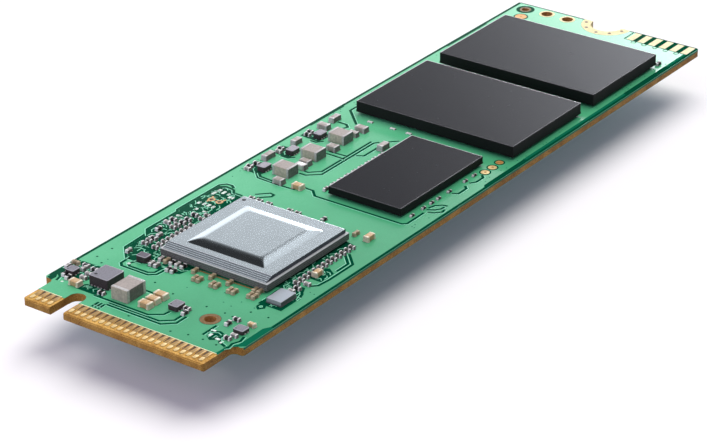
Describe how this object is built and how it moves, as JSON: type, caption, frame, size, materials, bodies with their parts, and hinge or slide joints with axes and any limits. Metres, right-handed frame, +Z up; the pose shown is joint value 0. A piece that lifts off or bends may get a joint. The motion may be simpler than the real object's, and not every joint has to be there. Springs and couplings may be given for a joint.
{
  "type": "solid state drive",
  "caption": "Slim bare-card solid state drive with a keyed gold edge connector, a lidded controller, memory and flash packages, and a half-round screw seat.",
  "frame": {"origin": "under the middle of the card, on its lowest face", "axes": "+X from the card-edge tip towards the mounting end, +Y towards the key-slot side, +Z up from the component side"},
  "size_m": [0.08, 0.022, 0.0023],
  "materials": {
    "laminate": "glass-epoxy board laminate, tan to golden brown at its cut edges",
    "solder_mask": "satin green solder mask, lighter over copper and darker in the gaps",
    "gold_plating": "gold over nickel on copper, soft bright",
    "mould_compound": "charcoal epoxy moulding, very fine matt grain",
    "package_substrate": "dark resin laminate",
    "silicon": "polished grey silicon",
    "solder": "bright reflowed solder",
    "lid_metal": "nickel-plated stamped lid, fine satin",
    "thermal_compound": "grey thermal compound",
    "ferrite": "grey-brown pressed ferrite, matt",
    "ceramic_chip": "tan ceramic body with tinned ends",
    "crystal_can": "satin metal can"
  },
  "bodies": {
    "root": {"circuit_board": "laminate", "clock_chip": "mould_compound", "contacts_bottom_narrow": "gold_plating", "contacts_bottom_wide": "gold_plating", "contacts_top_narrow": "gold_plating", "contacts_top_wide": "gold_plating", "controller_ball_layer": "solder", "controller_die": "silicon", "controller_lid": "lid_metal", "controller_substrate": "package_substrate", "controller_thermal_layer": "thermal_compound", "core_capacitor": "ceramic_chip", "crystal": "crystal_can", "crystal_capacitor": "ceramic_chip", "edge_capacitor": "ceramic_chip", "flash_far_ball_layer": "solder", "flash_far_die_stack": "silicon", "flash_far_mould": "mould_compound", "flash_far_substrate": "package_substrate", "flash_near_ball_layer": "solder", "flash_near_die_stack": "silicon", "flash_near_mould": "mould_compound", "flash_near_substrate": "package_substrate", "input_capacitor_1": "ceramic_chip", "input_capacitor_2": "ceramic_chip", "input_capacitor_3": "ceramic_chip", "input_inductor": "ferrite", "input_regulator": "mould_compound", "load_switch": "mould_compound", "lower_capacitor_1": "ceramic_chip", "lower_capacitor_2": "ceramic_chip", "lower_capacitor_3": "ceramic_chip", "lower_capacitor_4": "ceramic_chip", "lower_capacitor_5": "ceramic_chip", "lower_capacitor_6": "ceramic_chip", "memory_ball_layer": "solder", "memory_capacitor": "ceramic_chip", "memory_die_stack": "silicon", "memory_mould": "mould_compound", "memory_substrate": "package_substrate", "monitor_chip": "mould_compound", "mounting_pad": "gold_plating", "power_inductor_1": "ferrite", "power_inductor_2": "ferrite", "power_inductor_3": "ferrite", "rail_capacitor": "ceramic_chip", "regulator_1": "mould_compound", "regulator_2": "mould_compound", "regulator_3": "mould_compound", "solder_mask_bottom": "solder_mask", "solder_mask_top": "solder_mask", "thermal_sensor": "mould_compound", "upper_capacitor_1": "ceramic_chip", "upper_capacitor_2": "ceramic_chip", "upper_capacitor_3": "ceramic_chip", "upper_capacitor_4": "ceramic_chip"}
  },
  "joints": []
}
